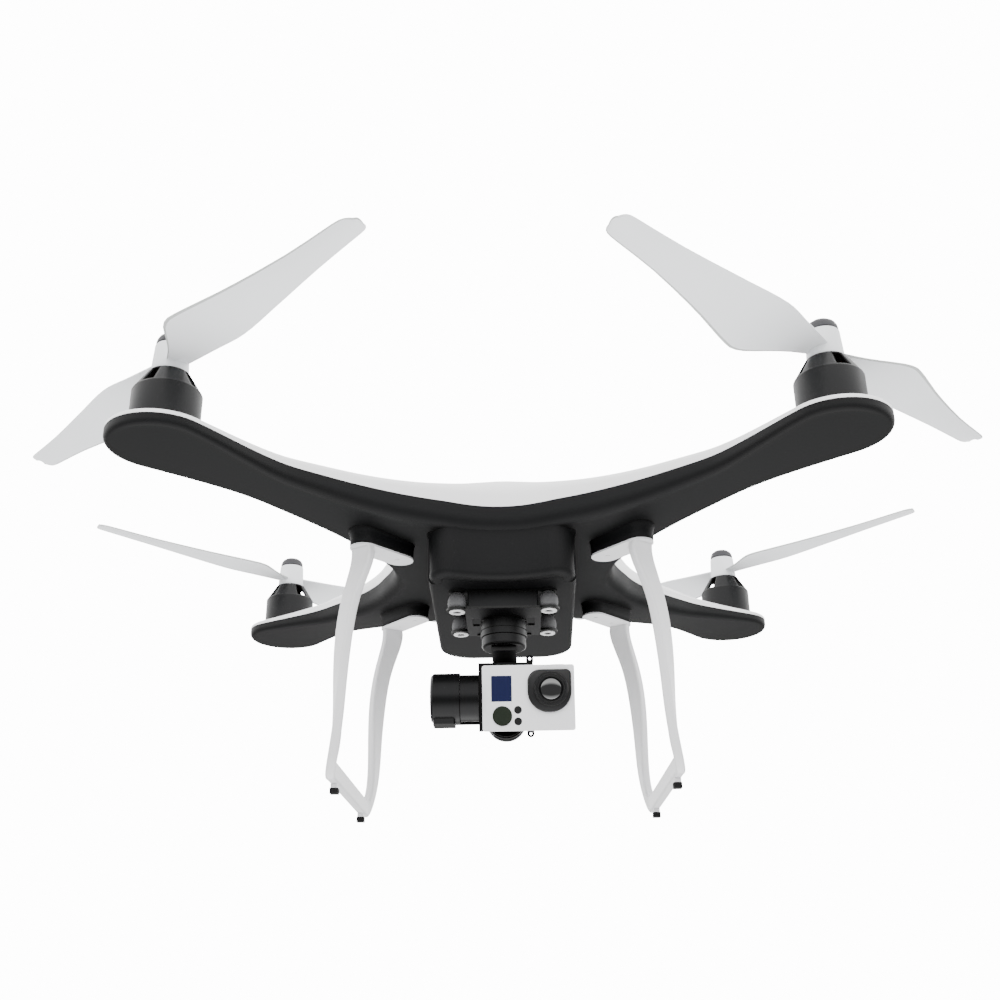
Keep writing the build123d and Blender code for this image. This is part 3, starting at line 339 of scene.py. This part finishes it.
# enamelled copper wire wound round the stator teeth: fine turns side by side
copperWire = anodisedAluminium("enamelledCopper", "#b0602c", 0.35, 0.7, (1, 1, 4))


def coatedGlass():
    # polished, coated front lens: nearly black and mirror-smooth; its colour turns lighter towards the rim
    # as the surface turns from the view, a painted reflection
    finish = {"Roughness": 0.04, "IOR": 1.52, "Specular IOR Level": 0.9, "Coat Weight": 0.6,
              "Coat Roughness": 0.02}
    made, tree, shader, place = startMaterial("coatedLensGlass", finish)
    # painted reflection: the base colour lightens where the surface faces away from the view
    edge = addNode(tree, "ShaderNodeLayerWeight", {"Blend": 0.35})
    tone = addNode(tree, "ShaderNodeMix", {"data_type": "RGBA"}, {0: edge.outputs["Facing"]})
    tone.inputs[6].default_value, tone.inputs[7].default_value = hexColour("#050506"), hexColour("#2b2b30")
    tree.links.new(tone.outputs[2], shader.inputs["Base Color"])
    dust = addNode(tree, "ShaderNodeTexNoise", {"Scale": 300.0}, {"Vector": place})
    bump = addNode(tree, "ShaderNodeBump", {"Strength": 0.05, "Distance": 0.01 * mm},
                   {"Height": dust.outputs["Fac"]})
    tree.links.new(bump.outputs[0], shader.inputs["Normal"])
    return made


lensGlass = coatedGlass()
print("materials ready")


# airframe shells

shell = {
    # plan in mm: the arms run along the diagonals; half widths at stations counted back from the motor
    "halfDiagonal": 272.5, "frontMid": 92.0, "sideMid": 79.0,
    "back": (170, 135, 95, 65), "front": (45, 32.5, 24, 21), "side": (30.5, 21.5, 19, 19.5),
    "paddleRadius": 31.6, "paddleAt": 273.5,
    "paddleFrom": 100.0,              # degrees, where the round end starts
    "midReach": 30.0, "blendTo": 140.0,
    # parting line: radius from the middle, height
    "seam": ((0, 176.8), (80, 176.8), (150, 178.2), (217.5, 180.1), (310, 181.8)),
    "lip": 1.6,                       # each wall turns in this far at the parting line
    # rows from the rounded edge to the arm's spine
    "across": (0.12, 0.25, 0.4, 0.55, 0.7, 0.85, 1.0),
    # gap and lip above the parting line, share of the wall that is rounded, reach of the round (a fixed
    # part and a share of the wall), then the outer face: radius from the middle, height
    "lower": {"gap": 0.0, "lipRise": -0.4, "round": 0.6, "wide": (1.0, 0.36),
              "face": ((0, 161), (100, 161), (140, 163.2), (186, 167.9), (230, 172.2), (272, 174.8),
                       (310, 175))},
    "upper": {"gap": 0.35, "lipRise": 0.5, "round": 0.62, "wide": (2.6, 0.42),
              "face": ((0, 228), (31, 222), (63, 208), (94, 195.4), (130, 190), (190, 187.6),
                       (250, 185.6), (310, 185.6))},
}


def along(curve, r):
    # smooth height at radius r from a list of (radius, height) stations
    k = max(0, min(len(curve) - 2, sum(1 for c in curve[1:-1] if c[0] <= r)))
    (x0, y0), (x1, y1) = curve[k], curve[k + 1]
    before = (y1 - curve[k - 1][1]) / (x1 - curve[k - 1][0]) if k > 0 else 0.0
    after = (curve[k + 2][1] - y0) / (curve[k + 2][0] - x0) if k + 2 < len(curve) else 0.0
    w = x1 - x0
    t = max(0.0, min(1.0, (r - x0) / w))
    return ((1 + 2 * t) * (1 - t) ** 2 * y0 + t * (1 - t) ** 2 * w * before
            + t * t * (3 - 2 * t) * y1 + t * t * (t - 1) * w * after)


def quadrantOutline(steps=44, arcSteps=30):
    # one arm along +x of its own diagonal: (edge point, spine point) pairs from the front edge's
    # middle, round the arm's end, to the side edge's middle
    reach, radius, start = shell["paddleAt"], shell["paddleRadius"], shell["paddleFrom"]
    theta = math.radians(start)

    def flank(mid, widths, sign):
        e = mid * math.cos(math.radians(45))
        first = shell["halfDiagonal"] - shell["back"][0]
        # the first station mirrors the slope, so the two halves of an edge meet smoothly
        stations = [(e - shell["midReach"], first + widths[0] - e + shell["midReach"]), (e, e)]
        stations += [(shell["halfDiagonal"] - b, w) for b, w in zip(shell["back"], widths)]
        stations += [(reach + radius * math.cos(theta), radius * math.sin(theta)), (reach + 3, radius)]
        pairs = []
        for k in range(steps + 1):
            s = k / steps * (reach + radius * math.cos(theta))
            u = e + s * (1 - e / shell["blendTo"]) if s < shell["blendTo"] else s
            pairs.append(((u, sign * along(stations, u)), (s, 0.0)))
        return pairs

    front = flank(shell["frontMid"], shell["front"], 1)
    side = flank(shell["sideMid"], shell["side"], -1)
    arc = []
    for k in range(1, arcSteps):
        a = math.radians(start - 2 * start * k / arcSteps)
        arc.append(((reach + radius * math.cos(a), radius * math.sin(a)), front[-1][1]))
    return front + arc + side[::-1]


def section(edge, normal, spine, part, steps=8):
    # one shell cut square to its edge: lip, wall, rounded edge, then across to the arm's spine
    x, y = edge
    base = along(shell["seam"], math.hypot(x, y)) + part["gap"]
    height = along(part["face"], math.hypot(x, y)) - base
    wall = base + height * (1 - part["round"])
    wide = part["wide"][0] + part["wide"][1] * abs(height)
    lipX, lipY = x + normal[0] * shell["lip"], y + normal[1] * shell["lip"]
    row = [(lipX, lipY, base + part["lipRise"]), (x, y, base), (x, y, wall)]
    for k in range(1, steps + 1):
        a = math.radians(90 * k / steps)
        d = wide * (1 - math.cos(a))
        px, py = x + normal[0] * d, y + normal[1] * d
        row.append((px, py, lerp(wall, along(part["face"], math.hypot(px, py)), math.sin(a))))
    for s in shell["across"]:
        qx, qy = lerp(px, spine[0], s), lerp(py, spine[1], s)
        row.append((qx, qy, along(part["face"], math.hypot(qx, qy))))
    return row


def shellSkin(part):
    # the four quarters of one shell
    pairs = quadrantOutline()
    last = len(pairs) - 1
    c = math.cos(math.radians(45))
    quarters = []
    for sx, sy in corners.values():
        rows = []
        for k, (edge, spine) in enumerate(pairs):
            before, after = pairs[max(0, k - 1)][0], pairs[min(last, k + 1)][0]
            dx, dy = after[0] - before[0], after[1] - before[1]
            # the two ends lie on the craft's axes, where the edge runs square across
            if k == 0:
                dx, dy = 1, -1
            if k == last:
                dx, dy = -1, -1
            size = math.hypot(dx, dy)
            row = section(edge, (dy / size, -dx / size), spine, part)
            rows.append([(sx * (u - v) * c, sy * (u + v) * c, z) for u, v, z in row])
        quarters.append(grid(rows))
    return joined(*quarters)


gear = {
    "tip": (68.0, 66.0), "root": (88.8, 89.6), "radius": 9.0, "padTop": 151.7,      # mm
    # pedestal between pad and hull: height above the pad, growth all round
    "pedestal": ((0.0, -0.5), (0.5, 0.0), (4.0, 0.1), (7.0, 0.3), (8.6, 0.7), (9.6, 1.3), (11.5, 1.6)),
}


def slotOutline(sx, sy, grow, steps=14):
    # outline of one landing-gear pad, grown by the given amount
    tip, root = (Vector((sx * x, sy * y)) for x, y in (gear["tip"], gear["root"]))
    radius = gear["radius"] + grow
    run = math.atan2(root.y - tip.y, root.x - tip.x)
    points = []
    for centre, start in ((root, run - math.pi / 2), (tip, run + math.pi / 2)):
        for k in range(steps + 1):
            a = start + math.pi * k / steps
            points.append((centre.x + radius * math.cos(a), centre.y + radius * math.sin(a)))
    return points


def stacked(outlines):
    # skin through outlines of equal length, each with its height, closed at both ends
    n = len(outlines[0][0])
    verts = [(x, y, z) for outline, z in outlines for x, y in outline]
    faces = [tuple(range(n - 1, -1, -1)), tuple(range((len(outlines) - 1) * n, len(outlines) * n))]
    for ring in range(len(outlines) - 1):
        for k in range(n):
            a, b = ring * n + k, ring * n + (k + 1) % n
            faces.append((a, b, b + n, a + n))
    return verts, faces


pedestals = []
for sx, sy in corners.values():
    levels = [(slotOutline(sx, sy, grow), gear["padTop"] + up) for up, grow in gear["pedestal"]]
    pedestals.append(stacked(levels))

meshPiece("upperShellSkin", *shellSkin(shell["upper"]), whiteAbs, "airframe", "upper_shell",
          ["upper_shell"], sharp=60)
meshPiece("lowerShellSkin", *joined(shellSkin(shell["lower"]), *pedestals), blackAbs, "airframe",
          "lower_shell", ["lower_shell"], sharp=50)
print("shells ready")


# belly: nose cover and housing

belly = {
    # mm
    "half": 47.3, "split": -78.0, "frontCorner": -108.0, "frontMid": -88.0, "cornerRadius": 12.0,
    "bottom": 129.5, "top": 162.4, "edge": 5.0, "flare": 2.4, "browFlare": 0.5,
    "seamBack": 2.2, "seamWide": 0.5, "seamDeep": 0.7, "draft": 0.8,
    # foot of the cover where it meets the hull: distance below the top, share of the flare
    "foot": ((0.0, 1.2), (0.6, 0.9), (1.6, 0.5), (3.2, 0.2), (5.5, 0.05), (9.0, 0.0), (20.0, -0.3)),
    # seam groove: share of its width, share of its depth
    "groove": ((0.0, 0.0), (0.12, 1.0), (0.88, 1.0), (1.0, 0.0)),
    "backTurn": 6.0,                  # the rear face turns up this far
}


def noseOutline():
    # (point, inward normal, seam depth share), from the right side round the hollow front to the left
    b = belly
    sag = b["frontMid"] - b["frontCorner"]
    bow = (b["half"] ** 2 + sag ** 2) / (2 * sag)
    hub = (0.0, b["frontMid"] - bow)
    r = b["cornerRadius"]
    cx = b["half"] - r
    cy = hub[1] + math.sqrt((bow + r) ** 2 - cx ** 2)
    right = []
    for k in range(7):
        right.append(((b["half"], lerp(b["split"], cy, k / 6)), (-1.0, 0.0), k / 6))
    turn = math.atan2(cy - hub[1], cx)
    for k in range(1, 15):
        a = lerp(0.0, turn - math.pi, k / 14)
        right.append(((cx + r * math.cos(a), cy + r * math.sin(a)), (-math.cos(a), -math.sin(a)), 1.0))
    for k in range(1, 17):
        a = lerp(turn, math.pi / 2, k / 16)
        right.append(((bow * math.cos(a), hub[1] + bow * math.sin(a)), (math.cos(a), math.sin(a)), 1.0))
    left = [((-x, y), (-nx, ny), deep) for (x, y), (nx, ny), deep in right[:-1]]
    return right + left[::-1]


def noseMesh():
    # lofted skin: flared foot on the hull, front face, rounded lower edge, seam groove, flat underside
    b = belly
    rows = []
    for (x, y), (nx, ny), deep in noseOutline():
        brow = abs(nx) < 0.9 and ny > 0
        flare = b["browFlare"] if brow else b["flare"]
        row = []
        for down, share in b["foot"]:
            row.append((x - nx * flare * share, y - ny * flare * share, b["top"] - down))
        inset = b["draft"] * deep
        for k in range(7):
            a = math.radians(90 * k / 6)
            off = inset + b["edge"] * (1 - math.cos(a))
            row.append((x + nx * off, y + ny * off, b["bottom"] + b["edge"] * (1 - math.sin(a))))
        for off, sink in b["groove"]:
            d = inset + b["edge"] + b["seamBack"] + off * b["seamWide"]
            row.append((x + nx * d, min(y + ny * d, b["split"]),
                        b["bottom"] + sink * b["seamDeep"] * deep))
        px, py, pz = row[-1]
        row.append((px * 0.98, lerp(py, b["split"], 0.4), pz))
        row.append((px * 0.94, b["split"], b["bottom"]))
        row.append((px * 0.94, b["split"], b["bottom"] + b["backTurn"]))
        rows.append(row)
    return grid(rows)


meshPiece("noseCoverSkin", *noseMesh(), bellyAbs, "airframe", "belly_nose_cover", ["belly_nose_cover"],
          sharp=50)
print("belly ready")


# motors and propellers

motor = {
    "radius": 20.35, "bottom": 189.2, "shoulder": 210.0, "top": 223.0, "topRadius": 12.0,
    "wall": 1.2,                        # mm
    "slots": 4, "slotHalf": 11.5,       # count, degrees
    "slotTurns": {"front_right": 72.5, "front_left": 13.0, "rear_right": 43.0, "rear_left": 40.0},
    # turned profiles: radius, height
    "hub": ((6.0, 223.2), (10.8, 223.2), (11.0, 224.0), (10.8, 227.5), (10.5, 232.5), (10.0, 240.6),
            (9.6, 241.3), (8.9, 241.5), (2.0, 241.5)),
    "nut": ((9.2, 241.4), (9.6, 241.9), (9.6, 243.2), (9.2, 245.1), (8.2, 247.0), (6.1, 248.6),
            (3.1, 249.3), (0.01, 249.5)),
}
blade = {
    "plane": 229.1, "pitch": 7.7, "thickness": 2.3, "coning": 2.4, "reach": 184.0,
    "camber": 1.3, "camberFrom": 40.0, "tipShare": 0.5, "rimShare": 0.42,
    # rows out along the blade, and shares of its chord from the leading to the trailing edge
    "spans": (6, 9, 13, 18, 24, 30, 36, 42, 47, 52, 58, 66, 76, 90, 105, 122, 140, 155, 166, 173,
              177.5, 180.3, 182.2, 183.4, 184.2, 184.6),
    "across": (0, 0.03, 0.1, 0.22, 0.38, 0.55, 0.72, 0.87, 0.96, 1.0),
    # -1 is the mirror image
    "hands": {"front_right": 1, "front_left": 1, "rear_right": -1, "rear_left": 1},
    # edges in plan: distance out from the hub, offset
    "trail": ((6, -5.5), (8, -7), (20, -13), (32, -21), (41, -27.6), (50, -31.0), (60, -29.9),
              (73, -27), (98, -21.4), (141, -14.4), (168, -12.1), (177, -11.3), (180.8, -10.5),
              (183.2, -8.8), (184.6, -5.6)),
    "lead": ((6, 6.5), (8, 7), (32, 10.4), (57, 13.8), (96, 10.8), (137, 7.2), (165, 5.8), (176, 5.4),
             (180.8, 4.9), (183.3, 3.4), (184.6, 0.6)),
}
axes = {j["name"]: j for j in frame["record"]["behaviour"]["joints"]}


def bellMesh(x, y, turn):
    # turned cup with a sloped top; the top's vents are faces left out
    radius, bottom, shoulder = motor["radius"], motor["bottom"], motor["shoulder"]
    top, topRadius, steps = motor["top"], motor["topRadius"], 96
    profile = [(radius - 1.6, bottom), (radius - 0.3, bottom), (radius, bottom + 0.4)]
    profile += [(radius, shoulder - 0.7), (radius - 0.35, shoulder + 0.1), (radius - 0.9, shoulder + 0.8)]
    for s in (0.08, 0.2, 0.5, 0.9, 0.97):
        profile.append((lerp(radius - 0.9, topRadius, s), lerp(shoulder + 0.8, top, s)))
    profile += [(topRadius - 0.5, top), (0.01, top)]
    verts, faces = turned(profile, (x, y, 0), steps)
    half = 180 / motor["slots"]
    kept = []
    for face in faces:
        ring = face[0] // steps
        angle = math.degrees(2 * math.pi * (face[0] % steps + 0.5) / steps) - turn
        near = (angle + half) % (2 * half) - half
        cut = abs(near) < motor["slotHalf"] and 5 <= ring <= 8
        if not cut:
            kept.append(face)
    return verts, kept


def bladeMesh(x, y, turn, hand):
    # one blade: closed rings of upper and lower points from the hub to the tip
    b = blade
    tilt = math.radians(b["pitch"])
    rows = []
    for d in b["spans"]:
        trail, lead = along(b["trail"], d), along(b["lead"], d)
        thick = b["thickness"] * lerp(1.0, b["tipShare"], min(1, d / b["reach"]))
        upper, lower = [], []
        for c in b["across"]:
            o = lerp(lead, trail, c)
            body = lerp(b["rimShare"], 1.0, math.sqrt(max(0.0, 4 * c * (1 - c))))
            camber = b["camber"] * 4 * c * (1 - c) * min(1.0, d / b["camberFrom"])
            lift = b["coning"] * (d / b["reach"]) ** 2
            upper.append((d, o, lift + camber + thick / 2 * body))
            lower.append((d, o, lift + camber - thick / 2 * body))
        rows.append(upper + lower[::-1])
    n = blade["around"] = len(rows[0])
    blade["faces"] = (len(rows) - 1) * n + 2
    verts, faces = [], []
    ray = Vector((math.cos(turn), math.sin(turn), 0))
    flat = Vector((-math.sin(turn), math.cos(turn), 0))
    side = flat * math.cos(tilt) + Vector((0, 0, hand * math.sin(tilt)))
    up = ray.cross(side)
    for row in rows:
        for d, o, h in row:
            verts.append(tuple(Vector((x, y, b["plane"])) + ray * d + side * o * hand + up * h))
    for i in range(len(rows) - 1):
        for j in range(n):
            a, c = i * n + j, i * n + (j + 1) % n
            faces.append((a, c, c + n, a + n))
    faces.append(tuple(range(n)))
    faces.append(tuple(range(len(verts) - 1, len(verts) - 1 - n, -1)))
    return verts, faces


for corner, (sx, sy) in corners.items():
    x, y = (axes["rotor_spin_" + corner]["pos_m"][k] / mm for k in (0, 1))
    body = "rotor_" + corner
    bell = meshPiece("motorBell_" + corner, *bellMesh(x, y, motor["slotTurns"][corner]), bellEnamel,
                     body, "rotor_bell", ["rotor_bell_" + corner], sharp=35)
    wall = bell.modifiers.new("wall", "SOLIDIFY")
    wall.thickness = motor["wall"] * mm
    wall.offset = -1
    square = math.atan2(sy, sx) + math.pi / 2
    hub = turned(motor["hub"], (x, y, 0))
    hand = blade["hands"][corner]
    blades = joined(bladeMesh(x, y, square, hand), bladeMesh(x, y, square + math.pi, hand), hub)
    around, count = blade["around"], blade["faces"]
    # the strip along the trailing edge and the two end faces take the darker grey, painted shade of the
    # thin edge
    edgeShadeFaces = [k for k in range(2 * count) if k % count >= count - 2 or k % count % around in (8, 9, 10)]
    meshPiece("propeller_" + corner + "_skin", *blades, [bladeNylon, bladeEdgeShadeNylon], body, "propeller",
              ["propeller_" + corner], second=edgeShadeFaces)
    meshPiece("propNut_" + corner, *turned(motor["nut"], (x, y, 0)), greyAnodised, body, "prop_nut",
              ["prop_nut_" + corner])
print("motors and propellers ready")


# gimbal dampers and washers

damper = {
    "x": 30.0, "front": -62.0, "rear": -11.0, "plate": 116.0, "plateTop": 117.5,      # mm
    # the first rings of the ball, its plug, are coloured black as painted shade of the washer's hole
    "steps": 40, "holeShadeRings": 3,
    # radius, height above the plate: a plug through its hole, then the soft ball up to the mount
    "ball": ((0.01, -1.7), (2.1, -1.7), (2.3, -1.5), (2.3, -0.2), (5.2, 0.0), (5.8, 0.9), (6.2, 2.2),
             (6.35, 4.0), (6.2, 6.0), (5.6, 7.9), (4.7, 9.3), (3.7, 10.2), (3.4, 10.8)),
    # radius, height against the plate's underside
    "washer": ((2.4, 0.0), (5.0, 0.0), (5.2, -0.25), (5.2, -0.8), (4.9, -1.05), (2.9, -1.1),
               (2.6, -0.95), (2.4, -0.2)),
}
balls, washers = [], []
for x in (-damper["x"], damper["x"]):
    for y in (damper["front"], damper["rear"]):
        balls.append(turned(damper["ball"], (x, y, damper["plateTop"]), damper["steps"]))
        washers.append(turned(damper["washer"], (x, y, damper["plate"]), damper["steps"]))
ballCount = len(balls[0][1])
# the plug's faces, seen through the washer's hole, take black rubber: painted shade, so the hole reads
# dark
holeShadeFaceCount = damper["holeShadeRings"] * damper["steps"]
holeShadeFaces = [k for k in range(4 * ballCount) if k % ballCount < holeShadeFaceCount]
meshPiece("damperBalls", *joined(*balls), [greyRubber, blackRubber], "airframe", "damper_balls",
          ["damper_balls"], second=holeShadeFaces)
meshPiece("damperWashers", *joined(*washers), whiteWasher, "airframe", "damper_washers",
          ["damper_washers"])
print("dampers ready")


# camera: lens and its glass

lens = {
    # mm and degrees, the middle of the camera's face
    "centre": (15.4, -59.0, 58.7), "pitch": 13.5,
    "block": (13.4, 4.3), "blockSize": (28.0, 27.0), "corners": (13.2, 13.2, 3.4, 9.5),
    "proud": 2.4, "deep": 19.0,
    "blockEdge": ((0.0, -0.9), (0.25, -0.3), (0.9, 0.0)),        # inset, height past the proud face
    "ring": (14.4, 5.4), "screen": (-17.2, 6.0), "screenSize": (13.0, 16.2),
    "paneEdge": ((0.0, -0.6), (0.0, 0.2), (0.15, 0.35)), "paneRadius": 1.2,       # inset, height
    "barrel": ((11.0, 0.6), (11.0, 3.6), (10.6, 4.2), (9.6, 4.2), (9.3, 3.9), (8.9, 3.9), (8.7, 4.1),
               (8.1, 4.1), (7.7, 3.6), (7.3, 2.6)),
    "dome": ((7.3, 2.4), (7.1, 2.75), (6.0, 3.15), (4.2, 3.5), (2.2, 3.68), (0.01, 3.72)),
}


def cameraFrame():
    # from the camera's face, x to its right, y up, z out of the face, to the craft
    pitch = math.radians(lens["pitch"])
    out = Vector((0, -math.cos(pitch), -math.sin(pitch)))
    right = Vector((1, 0, 0))
    up = out.cross(right)
    turn = Matrix((right, up, out)).transposed().to_4x4()
    return Matrix.Translation(Vector(lens["centre"])) @ turn


def cornered(cx, cy, w, h, radii, steps=10):
    # rectangle with its own radius at each corner: lower right, lower left, upper right, upper left
    points = []
    for (kx, ky), r, start in (((1, 1), radii[2], 0), ((-1, 1), radii[3], 90),
                               ((-1, -1), radii[1], 180), ((1, -1), radii[0], 270)):
        for k in range(steps + 1):
            a = math.radians(start + 90 * k / steps)
            points.append((cx + kx * (w / 2 - r) + r * math.cos(a),
                           cy + ky * (h / 2 - r) + r * math.sin(a)))
    return points


face = cameraFrame()
levels = []
for inset, z in ((0.0, -lens["deep"]), *((i, lens["proud"] + up) for i, up in lens["blockEdge"])):
    w, h = (size - 2 * inset for size in lens["blockSize"])
    levels.append((cornered(*lens["block"], w, h, [r - inset for r in lens["corners"]]), z))
block = stacked(levels)
barrel = turned(lens["barrel"], (*lens["ring"], 0), 72)
blockVerts, blockFaces = joined(block, barrel)
meshPiece("lensBlock", placed(blockVerts, face), blockFaces, lensPlastic, "camera", "lens_housing",
          ["lens_housing"], sharp=35)
domeVerts, domeFaces = turned(lens["dome"], (*lens["ring"], 0), 64)
meshPiece("lensDome", placed(domeVerts, face), domeFaces, lensGlass, "camera", "lens_glass",
          ["lens_glass"], sharp=60)
pane = []
for inset, z in lens["paneEdge"]:
    w, h = (size - 2 * inset for size in lens["screenSize"])
    pane.append((cornered(*lens["screen"], w, h, [lens["paneRadius"]] * 4), z))
paneVerts, paneFaces = stacked(pane)
meshPiece("screenPane", placed(paneVerts, face), paneFaces, displayBlue, "camera", "camera_screen",
          ["camera_screen"], sharp=35)
print("lens ready")


# the rest keeps its CAD shape and gets its finish

finishes = {
    "belly_housing": bellyAbs, "battery": bellyAbs, "battery_button": greyAnodised,
    "landing_gear_left": whiteNylon, "landing_gear_right": whiteNylon, "gear_feet": blackRubber,
    "gear_screws": whiteNylon, "gimbal_plate": blackAnodised, "gimbal_mount": blackAnodised,
    "main_board": boardGreen, "gps_module": whiteWasher, "speed_controllers": smokedPlastic,
    "motor_bearings": groundSteel, "motor_stators": groundSteel, "motor_windings": copperWire,
    # the gimbal controller's near-black is partly its own colour and partly painted shade for the contact
    # shadow under the belly
    "rotor_magnets": groundSteel, "motor_shaft": groundSteel, "gimbal_controller": blackWithPaintedShadeAnodised,
    "camera_body": cameraPlastic, "camera_faceplate": blastedSilver, "camera_screen": displayBlue,
    "status_lights": smokedPlastic, "mode_button": keyGreen, "shutter_button": keyRed,
}
for cadName, cadObject in frame["nodes"].items():
    base = cadName
    for corner in corners:
        base = base.replace("_" + corner, "")
    cadObject.data.materials.clear()
    # parts not listed take the near-black anodising, which is partly painted shade
    cadObject.data.materials.append(finishes.get(base, blackWithPaintedShadeAnodised))
print("finishes ready")
